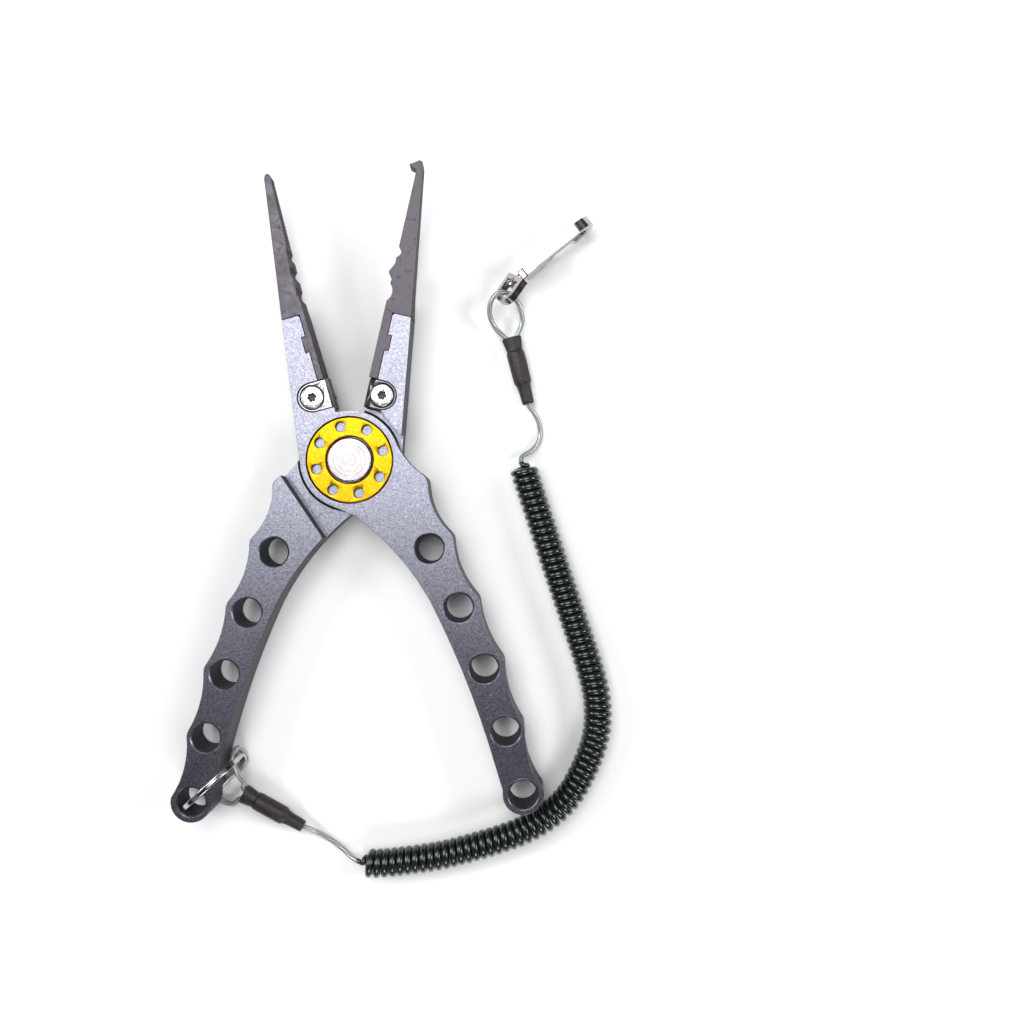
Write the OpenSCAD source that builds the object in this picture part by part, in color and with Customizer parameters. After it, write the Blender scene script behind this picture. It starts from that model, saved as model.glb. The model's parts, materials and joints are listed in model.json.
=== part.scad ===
// Fishing pliers with replaceable jaws and cutters, a pivot return spring, and a coiled
// safety lanyard that ends in a swivel snap hook. The tool lies flat, fully open.
// Origin: on the pivot axis, at the plane that the tool rests on. +Y runs towards the jaws
// of the closed tool and +Z is up.

/* [Levers] */
// Thickness of the two levers
lever_t = 12; // [11:0.5:13]
// Gap between the levers' back faces and the surface that the tool rests on
lift = 2.7; // [2.5:0.1:3]
// Angle that the front lever is opened by, from the closed centre line
front_open = 15.5; // [8:0.5:16]
// Angle that the rear lever is opened by, from the closed centre line
rear_open = 12.9; // [8:0.1:13]
// Distance from the pivot to the arms' ends, where the jaw inserts begin
arm_len = 43.7; // [42:0.1:45]
// Radius of the boss around the pivot
boss_r = 14.2; // [14:0.1:14.5]
// Radius of the five holes along each handle
hole_r = 4; // [3.8:0.1:4.1]

/* [Jaws] */
// Distance from the pivot to the front jaw's tip
front_tip_y = 85.1; // [84:0.1:85.2]
// Distance from the pivot to the top of the rear jaw's hook
hook_top_y = 88.1; // [88:0.1:89.5]
// Gap from the closed centre line to each gripping face
face_gap = 0.15; // [0.1:0.05:0.3]
// Number of teeth along the front jaw's tip
teeth = 20; // [8:1:24]

/* [Pivot] */
// Outer radius of the two perforated rings
ring_r = 12.4; // [12:0.1:12.5]
// Inner radius of the two perforated rings
ring_in_r = 6.7; // [6.6:0.1:7]
// Number of holes in each perforated ring
ring_holes = 8; // [4:1:10]
// Radius of the pivot bolt's shank
shank_r = 3; // [2.8:0.1:3.2]

/* [Lanyard] */
// Outer diameter of the coiled cable
coil_d = 8.8; // [8:0.2:9]
// Diameter of the coated cable
cable_d = 1.8; // [1.6:0.1:1.9]
// Outer radius of the split ring
split_r = 11.2; // [11:0.1:11.3]

/* [Snap hook] */
// Thickness of the hook's cast body
hook_t = 2.9; // [2.6:0.1:3.2]
// Overall height of the hook's body
hook_h = 12; // [12:0.5:13]

/* [Hidden] */
$fn = 64;

// Levels, from the resting plane up
z_low = lift;                    // back faces of the levers
z_top = lift + lever_t;          // front faces of the levers
z_mid = lift + lever_t/2;        // middle of the lap joint
lap_gap = 0.3;                   // gap between the two halves of the lap
washer_t = lap_gap - 0.04;

// Handle: the holes' centres lie on one long arc
grip_c = [-272.5, -95.5];
grip_r = 295;
grip_first = 12.73;              // angle of the hole nearest the pivot
grip_step = 3.67;
grip_holes = 5;
end_r = 5.9;
hole_chamfer = 0.5;
end_hole = on_grip(grip_holes - 1);

// Arm
arm_angle = 171.75;              // direction square to the arm's outer edge
stem_w = 2.8;                    // width of the pocket for the jaw insert's stem
key_w = 1.2;                     // how far the insert's key reaches into the arm
key_y = [32.8, 37.5];
fit_gap = 0.2;                   // visible gap around the inserts
front_screw = [-5.6, 20.1];
rear_screw = [-4.9, 20.1];
cutter_r = 4.1;                  // round end of the cutter, around its screw
cutter_z = [z_top - 5, z_top - 0.4];
tang_z = [z_top - 8.8, z_top - 5.1];
pocket_z = z_top - 8.9;
screw_head_r = 3.25;
screw_head_t = 1.7;
screw_shank_r = 1.5;

// Lap joint: each lever loses half its thickness between these two lines
arm_step = [127, 15.9];          // direction and distance from the pivot
handle_step = [-47, 18.9];
relief_w = 0.8;
relief_t = 0.35;

// Pivot stack
ring_t = 1.5;
ring_gap = 0.15;
recess_t = ring_t + 0.1;
ring_hole_r = 1.45;
ring_hole_pitch = 9.85;
bush_r = 4.2;
spring_r = 8.6;
spring_wire_r = 0.6;
spring_turns = 3;
spring_pocket = [6.9, 10.3, 2.4]; // inner radius, outer radius, depth into each lever
leg_len = 3.6;
leg_slot = 38;                   // angle swept by the slot for the spring's front leg

// Lanyard
split_t = 2;                     // thickness of the split ring's two turns
split_w = 1.8;                   // width of the split ring's wire
split_dir = 42;                  // direction of the split ring from the end hole
split_off = 7.6;                 // its centre's distance from the end hole
sleeve_len = 20.5;
rear_sleeve = [-33.3, -98.4, 3, -28.9];   // mouth x, y, z and direction towards the tail
front_sleeve = [46.3, 36.9, 3, -75.5];
sleeve_tail_r = 1.9;
sleeve_body_r = 2.7;
sleeve_mouth_r = 2.5;
ferrule_r = 2.2;
ferrule_x = [4.6, 14.2];

rear_eye_route = [
    [-33.8, -100, 2.2], [-37, -102, 1.2], [-40.4, -101, 0.9], [-41, -98, 0.9],
    [-38.5, -94.8, 0.92], [-35.3, -92, 0.92], [-33, -89.2, 1.06], [-33.6, -86.5, 2.02],
    [-34.5, -84.7, 4.1], [-35.4, -85.6, 6.2], [-35.2, -88.1, 7.2], [-34.2, -92, 5.8],
    [-33, -95.2, 3.7], [-32.9, -97.1, 3.3]
];
rear_lead_route = [
    [-15.2, -108.4, 3], [-12, -110.2, 1.6], [-8, -112.6, 0.9], [-4.4, -115.2, 1],
    [-1, -117.6, 2.6], [1.9, -118.6, 4.2]
];
coil_route = [
    [2.4, -118.7, 4.4], [8, -118.7, 4.4], [14, -118.1, 4.4], [25.5, -116.4, 4.4],
    [37, -113.4, 4.4], [47, -110.2, 4.4], [53.2, -107.3, 4.4], [58.6, -103.7, 4.4],
    [63.2, -99, 4.4], [66.5, -93.6, 4.4], [69.4, -87.3, 4.4], [71.3, -81.2, 4.4],
    [71.9, -75, 4.4], [71.3, -68, 4.4], [68.9, -59, 4.4], [65.2, -48, 4.4],
    [59.6, -31.6, 4.4], [54.3, -15.6, 4.4], [49.5, -1, 4.4]
];
front_lead_route = [
    [49.2, -0.3, 4.4], [49.6, 1.6, 3.6], [52.6, 3.6, 1.8], [54.8, 7.2, 1], [54.6, 11.4, 1.4],
    [53, 14.6, 2.4], [51.5, 16.9, 3]
];
front_eye_route = [
    [44.4, 36.8, 3], [41.6, 39.6, 3.6], [40, 43, 4.8], [40.2, 46.6, 6.2],
    [42.2, 49.2, 6.8], [45, 49.5, 6], [47.4, 48, 5.2], [49, 45.2, 4.4],
    [49.5, 41.4, 3.4], [48.1, 37.6, 3]
];

// Snap hook, in its own frame: +X along the hook, Z up, its axis at the origin's height
hook_at = [50.3, 55.3, 6];
hook_dir = 38.6;
nose_x = 18.6;                   // centre of the round nose
nose_r = hook_h/2;
spine_t = 2.8;
base_len = 7.2;
post_r = 1.1;
post_collar_r = 1.55;            // half the width of the post's square collar
post_head_r = 1.5;
bow_x = -3.1;                    // middle of the bow's drilled bar
bow_tilt = 16;
bow_roll = -45;
bow_in_r = 2.4;
bow_bar = 1.1;
bow_h = 2.4;
bow_arm = 4.6;
gate_pin = [4.8, -3.9];
gate_pin_r = 0.6;
gate_t = 1.2;
gate_slot = 2.1;
gate_z = [-3.9, -2.7];
gate_tip_x = 18.3;

steel = [0.78, 0.78, 0.8];
bright = [0.86, 0.86, 0.88];
dark_steel = [0.36, 0.33, 0.36];
lever_grey = [0.62, 0.63, 0.7];
gold = [0.9, 0.75, 0.15];
black = [0.1, 0.1, 0.11];
bronze = [0.72, 0.52, 0.28];

// ---- helpers ----

function on_grip(i) =
    let (a = grip_first - grip_step*i) grip_c + grip_r*[cos(a), sin(a)];

// Points of an arc from p to q whose middle stands h to the left of the straight line
function bulge(p, q, h, n = 8) =
    let (
        d = q - p,
        l = norm(d),
        r = (l*l/4 + h*h)/(2*h),
        left = [-d[1], d[0]]/l,
        c = (p + q)/2 + left*(h - r),
        a0 = atan2(p[1] - c[1], p[0] - c[0]),
        a1 = atan2(q[1] - c[1], q[0] - c[0]),
        turn = a1 - a0 > 180 ? a1 - a0 - 360 : (a1 - a0 < -180 ? a1 - a0 + 360 : a1 - a0)
    )
    [for (i = [0:n - 1]) c + abs(r)*[cos(a0 + turn*i/n), sin(a0 + turn*i/n)]];

// A corner at b rounded off between the points before and after it
function eased(a, b, c) =
    [for (t = [0.25:0.25:0.75]) (1 - t)*(1 - t)*a + 2*t*(1 - t)*b + t*t*c];

function arc(c, r, a0, a1, n = 10) =
    [for (i = [0:n]) let (a = a0 + (a1 - a0)*i/n) c + r*[cos(a), sin(a)]];

// The arm's outer edge is one straight line, tangent to the boss
function edge_x(y) = (boss_r - y*sin(arm_angle))/cos(arm_angle);

// Gripping edge of the front jaw: it stands back towards the pivot, so that the tips meet first
function grip_x(y) = -face_gap - 0.034*(front_tip_y - y);

// Point at fraction t of the stretch from b to c of a smooth curve through a, b, c, d
function smooth(a, b, c, d, t) =
    0.5*(2*b + (c - a)*t + (2*a - 5*b + 4*c - d)*t*t + (3*b - a - 3*c + d)*t*t*t);

// A smooth curve through hand-chosen points, with n steps between each two
function curve(pts, n) = [
    for (i = [0:len(pts) - 2], k = [0:n - 1])
        smooth(pts[max(i - 1, 0)], pts[i], pts[i + 1], pts[min(i + 2, len(pts) - 1)], k/n),
    pts[len(pts) - 1]
];

function unit(v) = v/norm(v);
function heading(pts, i) = unit(pts[min(i + 1, len(pts) - 1)] - pts[max(i - 1, 0)]);

// A closed round tube along a list of points
module tube(pts, r, sides = 8) {
    n = len(pts);
    corners = [
        for (i = [0:n - 1])
            let (t = heading(pts, i), s = unit(cross(t, [0, 0, 1])), u = cross(s, t))
            for (k = [0:sides - 1]) pts[i] + r*(cos(360*k/sides)*s + sin(360*k/sides)*u)
    ];
    walls = [
        for (i = [0:n - 2], k = [0:sides - 1])
            [i*sides + k, i*sides + (k + 1) % sides,
             (i + 1)*sides + (k + 1) % sides, (i + 1)*sides + k]
    ];
    start = [for (k = [sides - 1:-1:0]) k];
    end = [for (k = [0:sides - 1]) (n - 1)*sides + k];
    polyhedron(corners, concat([start], walls, [end]), convexity = 6);
}

module at_front() {
    rotate(front_open) children();
}

module at_rear() {
    rotate(-rear_open) mirror([1, 0, 0]) children();
}

// ---- levers ----

// Outline of one lever in the closed tool: arm on the left, handle on the right
module lever_outline() {
    crest = [
        [20.2, -11], [22.9, -28.7], [25.3, -48], [27.5, -67.4], [28.05, -86.8],
        [end_hole[0] + end_r, end_hole[1]]
    ];
    dip = [2.1, 1.9, 1.5, 1.6, 1.7];
    shoulder = bulge(crest[0], [boss_r, 0.6], 0.9, 6);
    inner_start = [-2.5, -16];
    inner_mid = [11.4, -45];
    inner_end = [end_hole[0] - end_r + 0.35, end_hole[1] + 2.5];
    circle(boss_r);
    // the handle, with five finger scallops between its crests
    polygon(concat(
        [[-4, 0]],
        [boss_r*[cos(-127), sin(-127)]],
        bulge(inner_start, inner_mid, 1.6),
        bulge(inner_mid, inner_end, 1.6),
        arc(end_hole, end_r, 155, 360, 20),
        [for (i = [4:-1:0]) each let (
            here = bulge(crest[i + 1], crest[i], dip[i], 14),
            next = i > 0 ? bulge(crest[i], crest[i - 1], dip[i - 1], 14) : shoulder
        ) concat([for (k = [1:13]) here[k]], eased(here[13], crest[i], next[1]))],
        [for (k = [1:5]) shoulder[k]],
        [[boss_r - 1, 4]]
    ));
    // the arm, stepped for the jaw insert and its key
    polygon([
        [0, 0],
        [-face_gap, 0],
        [-face_gap, 20],
        [-stem_w, 20],
        [-stem_w, key_y[0]],
        [-stem_w - key_w, key_y[0]],
        [-stem_w - key_w, key_y[1]],
        [-stem_w, key_y[1]],
        [-stem_w, arm_len - 0.5],
        [-stem_w - 0.5, arm_len],
        [edge_x(arm_len), arm_len],
        boss_r*[cos(arm_angle), sin(arm_angle)]
    ]);
}

// The side of a line nearer the pivot, where the lever is halved
module inside_step(step) {
    rotate(step[0]) translate([-80, -80]) square([80 + step[1], 160]);
}

// One lever before machining, halved on its lower side around the pivot
module lever_blank() {
    difference() {
        translate([0, 0, z_low]) linear_extrude(lever_t) lever_outline();
        translate([0, 0, z_low - 1]) linear_extrude(lever_t/2 + lap_gap/2 + 1) intersection() {
            inside_step(arm_step);
            inside_step(handle_step);
        }
        // relief groove along the foot of each step
        for (step = [arm_step, handle_step]) rotate(step[0])
            translate([step[1] - relief_w, -40, z_mid])
            cube([relief_w, 80, lap_gap/2 + relief_t]);
        for (i = [0:grip_holes - 1]) translate(on_grip(i)) {
            translate([0, 0, z_low - 1]) cylinder(h = lever_t + 2, r = hole_r);
            translate([0, 0, z_top - hole_chamfer])
                cylinder(h = 2*hole_chamfer, r1 = hole_r, r2 = hole_r + 2*hole_chamfer);
            translate([0, 0, z_low - hole_chamfer])
                cylinder(h = 2*hole_chamfer, r1 = hole_r + 2*hole_chamfer, r2 = hole_r);
        }
    }
}

// Plan of a cutter: a round end around the screw and a straight cutting side
module cutter_plan(screw, grow = 0, edge = -face_gap) {
    translate(screw) circle(cutter_r + grow);
    translate([screw[0], screw[1] - cutter_r - grow])
        square([edge - screw[0], 2*(cutter_r + grow)]);
}

// Pocket for the cutter and the insert's tang, with the screw's tapped hole
module cutter_pocket(screw) {
    translate([0, 0, pocket_z]) linear_extrude(lever_t) cutter_plan(screw, fit_gap, 3);
    translate([screw[0], screw[1], z_low - 1]) cylinder(h = lever_t, r = screw_shank_r + 0.05);
}

module ring_recess(z, h) {
    translate([0, 0, z]) cylinder(h = h, r = ring_r + ring_gap);
}

// Half of the ring-shaped room around the pivot that holds the return spring
module spring_room(z) {
    translate([0, 0, z]) difference() {
        cylinder(h = spring_pocket[2] + 0.5, r = spring_pocket[1]);
        translate([0, 0, -1]) cylinder(h = spring_pocket[2] + 3, r = spring_pocket[0]);
    }
}

leg_z = [z_mid - 1.3, z_mid + 1.3];
rear_leg_dir = -100;
front_leg_dir = -60;

module front_lever() color(lever_grey) {
    difference() {
        at_front() difference() {
            lever_blank();
            cutter_pocket(front_screw);
        }
        ring_recess(z_top - recess_t, 5);
        translate([0, 0, z_mid - 1]) cylinder(h = 10, r = bush_r);
        spring_room(z_mid - 0.5);
        // slot that lets the lever turn past the spring's front leg
        translate([0, 0, z_mid - 1]) rotate(front_leg_dir - 5)
            rotate_extrude(angle = leg_slot)
            translate([spring_pocket[1] - 1, 0]) square([3.4, spring_pocket[2] + 1]);
    }
}

module rear_lever() color(lever_grey) {
    difference() {
        union() {
            at_rear() difference() {
                translate([0, 0, 2*z_mid]) mirror([0, 0, 1]) lever_blank();
                cutter_pocket(rear_screw);
            }
            cylinder(h = z_low + 1, r = boss_r - 0.25);
        }
        ring_recess(-1, recess_t + 1);
        translate([0, 0, -1]) cylinder(h = z_top, r = shank_r + 0.05);
        spring_room(z_mid - spring_pocket[2]);
        // hole that holds the spring's rear leg
        rotate(rear_leg_dir) translate([spring_r, 0, leg_z[0]]) rotate([0, 90, 0])
            cylinder(h = leg_len + 0.1, r = spring_wire_r + 0.05);
    }
}

// ---- jaws and cutters ----

// Side view of a jaw insert: its front stays flush with the arm, its back rises to a thin tip
module jaw_side() {
    half = lever_t/2;
    translate([-20, 0, z_mid]) rotate([90, 0, 90]) linear_extrude(40) polygon([
        [20, -half], [arm_len + 0.2, -half], [arm_len + 7, -2.6], [64, -0.8], [95, 1.8],
        [95, half], [20, half]
    ]);
}

// Stem, key and shoulder that both inserts share. Its inner edge stands back by low at the
// foot and by high at the shoulder
module jaw_stem(low = face_gap, high = face_gap) {
    polygon([
        [-low, 24.5], [-high, 46], [edge_x(46), 46],
        [edge_x(arm_len + fit_gap), arm_len + fit_gap],
        [-stem_w + fit_gap, arm_len + fit_gap],
        [-stem_w + fit_gap, key_y[1] - fit_gap],
        [-stem_w - key_w + fit_gap, key_y[1] - fit_gap],
        [-stem_w - key_w + fit_gap, key_y[0] + fit_gap],
        [-stem_w + fit_gap, key_y[0] + fit_gap],
        [-stem_w + fit_gap, 24.5]
    ]);
}

// Tang under the cutter, clamped by the cutter's screw
module jaw_tang(screw) {
    translate([0, 0, tang_z[0]]) linear_extrude(tang_z[1] - tang_z[0]) difference() {
        union() {
            cutter_plan(screw);
            translate([-stem_w + fit_gap, 24]) square([stem_w - fit_gap - face_gap, 1]);
        }
        translate(screw) circle(screw_shank_r + 0.1);
    }
}

module front_jaw() color(dark_steel) at_front() {
    tip_r = 0.85;
    tip_c = [-face_gap - tip_r, front_tip_y - tip_r];
    tooth_y = [64, 83.4];
    pitch = (tooth_y[1] - tooth_y[0])/teeth;
    intersection() {
        translate([0, 0, z_low]) linear_extrude(lever_t) difference() {
            union() {
                jaw_stem(1, -grip_x(46));
                translate(tip_c) circle(tip_r);
                polygon([
                    [grip_x(45), 45], [grip_x(tip_c[1]), tip_c[1]], [tip_c[0], front_tip_y],
                    [edge_x(tip_c[1]) + 0.1, tip_c[1]], [edge_x(45), 45]
                ]);
            }
            // hollows for round stock, the middle one over the other jaw's bump
            translate([-0.1, 61.2]) circle(1.5);
            translate([-0.45, 55.9]) circle(1.65);
            translate([0.3, 50]) circle(2.3);
            for (y = [for (i = [0:teeth - 1]) tooth_y[0] + pitch*(i + 0.5)])
                translate([grip_x(y), y]) rotate(45) square(0.42, center = true);
        }
        jaw_side();
    }
    jaw_tang(front_screw);
}

module rear_jaw() color(dark_steel) at_rear() {
    intersection() {
        translate([0, 0, z_low]) linear_extrude(lever_t) difference() {
            union() {
                jaw_stem();
                // blade, and the beak that opens split rings
                polygon([
                    [-face_gap, 45], [-face_gap, 85.35], [2, 86], [2.15, 86.35],
                    [0.6, hook_top_y - 0.75], [-0.3, hook_top_y], [-1.3, hook_top_y - 0.2],
                    [edge_x(hook_top_y - 1.5), hook_top_y - 1.5], [edge_x(45), 45]
                ]);
                hull() {
                    translate([-0.1, 55.1]) circle(1.1);
                    translate([-0.55, 57.7]) circle(0.35);
                }
            }
            translate([0.6, 61.2]) circle(1.75);
            translate([2.2, 49.3]) circle(3.4);
        }
        jaw_side();
    }
    jaw_tang(rear_screw);
}

// A cutter block: land is how far its ground slope reaches in, drop how far down
module cutter(screw, land, drop) {
    difference() {
        translate([0, 0, cutter_z[0]]) linear_extrude(cutter_z[1] - cutter_z[0])
            cutter_plan(screw);
        translate([screw[0], screw[1], z_low]) cylinder(h = lever_t, r = screw_shank_r + 0.1);
        translate([screw[0], screw[1], z_top - screw_head_t])
            cylinder(h = 5, r = screw_head_r + 0.3);
        translate([0, screw[1] + 10, 0]) rotate([90, 0, 0]) linear_extrude(20) polygon([
            [-face_gap - land, cutter_z[1] + 0.01], [-face_gap + 1, cutter_z[1] + 0.01],
            [-face_gap + 1, cutter_z[1] - drop], [-face_gap, cutter_z[1] - drop]
        ]);
        translate([0, screw[1] + 10, 0]) rotate([90, 0, 0]) linear_extrude(20) polygon([
            [-face_gap - 0.8, cutter_z[0] - 0.01], [-face_gap + 1, cutter_z[0] - 0.01],
            [-face_gap + 1, cutter_z[1] - drop - 0.4], [-face_gap, cutter_z[1] - drop - 0.4]
        ]);
    }
}

module front_cutter() color(bright) at_front() cutter(front_screw, 0.6, 1.6);
module rear_cutter() color(steel) at_rear() cutter(rear_screw, 2.1, 2.2);

// Six-lobed driving recess
module star_recess(r, depth) {
    lobe = 0.16;
    linear_extrude(depth)
        polygon([for (a = [0:8:352]) r*(1 + lobe*cos(6*a))*[cos(a), sin(a)]]);
}

module cutter_screw() {
    star_r = 1.15;
    difference() {
        union() {
            translate([0, 0, z_top - screw_head_t + 0.05])
                cylinder(h = screw_head_t - 0.25, r = screw_head_r);
            translate([0, 0, z_top - 0.2])
                cylinder(h = 0.2, r1 = screw_head_r, r2 = screw_head_r - 0.2);
            translate([0, 0, z_low + 0.6]) cylinder(h = lever_t - 2, r = screw_shank_r);
        }
        translate([0, 0, z_top - 1]) star_recess(star_r, 2);
    }
}

module front_cutter_screw() color(bright) at_front() translate(front_screw) cutter_screw();
module rear_cutter_screw() color(bright) at_rear() translate(rear_screw) cutter_screw();

// ---- pivot ----

module dial_ring(z, turn) {
    chamfer = 0.3;
    translate([0, 0, z]) rotate(turn) difference() {
        rotate_extrude() polygon([
            [ring_in_r, 0], [ring_r, 0], [ring_r, ring_t - chamfer],
            [ring_r - chamfer, ring_t], [ring_in_r + chamfer, ring_t],
            [ring_in_r, ring_t - chamfer]
        ]);
        for (i = [0:ring_holes - 1]) rotate(90 + 360*i/ring_holes)
            translate([ring_hole_pitch, 0, -1]) cylinder(h = 5, r = ring_hole_r, $fn = 32);
    }
}

module front_dial_ring() color(gold) dial_ring(z_top - recess_t + 0.02, front_open);
module rear_dial_ring() color(gold)
    translate([0, 0, recess_t - 0.02]) mirror([0, 0, 1]) dial_ring(0, rear_open);

bolt_head_r = ring_in_r - 0.2;

module pivot_bolt() color(steel) {
    chamfer = 0.4;
    head_z = [z_top - recess_t + 0.1, z_top + 0.35];
    rotate_extrude() polygon([
        [0, 1], [shank_r, 1], [shank_r, head_z[0]], [bolt_head_r, head_z[0]],
        [bolt_head_r, head_z[1] - chamfer], [bolt_head_r - chamfer, head_z[1]],
        [0, head_z[1]]
    ]);
}

module pivot_nut() color(steel) {
    nut_t = recess_t - 0.02;
    difference() {
        cylinder(h = nut_t, r = bolt_head_r);
        translate([0, 0, 1]) cylinder(h = 3, r = shank_r);
        for (side = [-1, 1]) translate([4.6*side, 0, -1])
            cylinder(h = 2, r = 0.9, $fn = 24);
    }
}

module pivot_bushing() color(bronze) {
    z0 = z_mid + lap_gap/2 + 0.02;
    translate([0, 0, z0]) difference() {
        cylinder(h = z_top - recess_t - z0, r = bush_r);
        translate([0, 0, -1]) cylinder(h = 12, r = shank_r + 0.05);
    }
}

module thrust_washer() color(bronze) {
    translate([0, 0, z_mid - washer_t/2]) difference() {
        cylinder(h = washer_t, r = spring_pocket[0] - 0.3);
        translate([0, 0, -1]) cylinder(h = 2, r = shank_r + 0.15);
    }
}

module return_spring() color(steel) {
    pitch = 1.1;
    rotate_extrude() for (i = [0:spring_turns - 1])
        translate([spring_r, z_mid + pitch*(i - (spring_turns - 1)/2)])
            circle(spring_wire_r, $fn = 20);
    rotate(rear_leg_dir) translate([spring_r, 0, leg_z[0]]) rotate([0, 90, 0])
        cylinder(h = leg_len, r = spring_wire_r, $fn = 20);
    rotate(front_leg_dir) translate([spring_r, 0, leg_z[1]]) rotate([0, 90, 0])
        cylinder(h = leg_len - 0.4, r = spring_wire_r, $fn = 20);
}

// ---- lanyard ----

// Centre of the rear handle's end hole, with the tool open
eye_hole = let (a = -rear_open)
    [-end_hole[0]*cos(a) - end_hole[1]*sin(a), -end_hole[0]*sin(a) + end_hole[1]*cos(a)];

module split_ring() color(bright) {
    groove = 0.15;
    translate([eye_hole[0], eye_hole[1], split_r]) rotate(split_dir)
        translate([split_off, 0, 0]) rotate([90, 0, 0]) rotate_extrude() polygon([
            [split_r - split_w, -split_t/2], [split_r, -split_t/2],
            [split_r, -groove], [split_r - groove, 0], [split_r, groove],
            [split_r, split_t/2], [split_r - split_w, split_t/2]
        ]);
}

module rear_cable_eye() color(steel) tube(curve(rear_eye_route, 2), cable_d/2);
module front_cable_eye() color(steel) tube(curve(front_eye_route, 2), cable_d/2);
module rear_lead() color(steel) tube(curve(rear_lead_route, 1), cable_d/2);
module front_lead() color(steel) tube(curve(front_lead_route, 1), cable_d/2);
module lanyard_coil() color(black) tube(coil_route, coil_d/2, 12);

module on_sleeve(s) {
    translate([s[0], s[1], s[2]]) rotate([0, 0, s[3]]) children();
}

// Heat-shrink sleeve over a crimped ferrule, from its mouth at 0 to its tail
module crimp_sleeve() {
    bore = ferrule_r + 0.05;
    rotate([0, 90, 0]) rotate_extrude($fn = 32) polygon([
        [sleeve_mouth_r, 0], [sleeve_mouth_r - 0.2, 3.8], [sleeve_body_r, ferrule_x[0]],
        [sleeve_body_r, ferrule_x[1]], [sleeve_tail_r, ferrule_x[1] + 1.6],
        [sleeve_tail_r, sleeve_len], [cable_d/2 + 0.1, sleeve_len],
        [cable_d/2 + 0.1, ferrule_x[1] + 0.1], [bore, ferrule_x[1] + 0.1],
        [bore, ferrule_x[0] - 0.1], [1.9, ferrule_x[0] - 0.1], [1.9, 0]
    ]);
}

module ferrule() {
    translate([ferrule_x[0], 0, 0]) rotate([0, 90, 0])
        cylinder(h = ferrule_x[1] - ferrule_x[0], r = ferrule_r, $fn = 32);
}

module rear_crimp_sleeve() color(black) on_sleeve(rear_sleeve) crimp_sleeve();
module front_crimp_sleeve() color(black) on_sleeve(front_sleeve) crimp_sleeve();
module rear_ferrule() color(steel) on_sleeve(rear_sleeve) ferrule();
module front_ferrule() color(steel) on_sleeve(front_sleeve) ferrule();

// ---- snap hook ----

module on_hook() {
    translate(hook_at) rotate(hook_dir) children();
}

// An outline drawn along the hook and up, given a thickness across it
module upright(t) {
    rotate([90, 0, 0]) translate([0, 0, -t/2]) linear_extrude(t) children();
}

module swivel_bow() color(bright) on_hook() translate([bow_x, 0, 0]) {
    out_r = bow_in_r + bow_bar;
    bar = 0.8;
    difference() {
        rotate(bow_tilt) rotate([bow_roll, 0, 0]) translate([0, 0, -bow_h/2])
            linear_extrude(bow_h) difference() {
                union() {
                    translate([-bow_arm, 0]) circle(out_r);
                    translate([-bow_arm, -out_r]) square([bow_arm + bar, 2*out_r]);
                }
                translate([-bow_arm, 0]) circle(bow_in_r);
                translate([-bow_arm, -bow_in_r]) square([bow_arm - bar, 2*bow_in_r]);
            }
        translate([-3, 0, 0]) rotate([0, 90, 0]) cylinder(h = 6, r = post_r + 0.08);
    }
}

module swivel_post() color(bright) on_hook() rotate([0, 90, 0]) {
    translate([0, 0, -5.4]) cylinder(h = 6.9, r = post_r, $fn = 32);
    translate([0, 0, -5.9]) cylinder(h = 1.1, r = post_head_r, $fn = 32);
    // rounded square collar under the hook
    translate([-post_collar_r, -post_collar_r, -1.6]) linear_extrude(1.55)
        offset(r = 0.5, $fn = 24) translate([0.5, 0.5]) square(2*post_collar_r - 1);
}

module hook_body() color(bright) on_hook() {
    throat_r = nose_r - spine_t;
    difference() {
        upright(hook_t) difference() {
            union() {
                translate([0, -nose_r + 0.8]) square([base_len, hook_h - 2.4]);
                translate([3, throat_r]) square([nose_x - 3, spine_t]);
                difference() {
                    translate([nose_x, 0]) circle(nose_r);
                    translate([nose_x, 0]) circle(throat_r);
                    // mouth that the gate closes
                    translate([nose_x - 10, gate_z[0] - 0.15]) square([10, 8]);
                    translate([nose_x - 10, -10]) square([9.6, 8]);
                }
                translate([nose_x - 3, throat_r]) square([3.2, spine_t]);
            }
            // round the base's upper shoulder
            translate([-1, nose_r - 1.6]) square([2.6, 3]);
        }
        // slot for the gate's root
        upright(gate_slot) translate([2.4, -nose_r - 1]) square([8, 5.2]);
        translate([gate_pin[0], 0, gate_pin[1]]) rotate([90, 0, 0])
            cylinder(h = 8, r = gate_pin_r + 0.03, center = true, $fn = 32);
        translate([-1, 0, 0]) rotate([0, 90, 0]) cylinder(h = 2.6, r = post_r + 0.03, $fn = 32);
    }
}

module trigger_pin() color(steel) on_hook() translate([gate_pin[0], 0, gate_pin[1]])
    rotate([90, 0, 0]) cylinder(h = hook_t, r = gate_pin_r, center = true, $fn = 32);

module trigger_spring() color(steel) on_hook()
    translate([gate_pin[0], gate_t/2 - 0.2 + 0.2, gate_pin[1]])
    rotate([-90, 0, 0]) difference() {
        cylinder(h = 0.36, r = 1.3, $fn = 32);
        translate([0, 0, -1]) cylinder(h = 3, r = gate_pin_r + 0.15, $fn = 32);
    }

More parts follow.
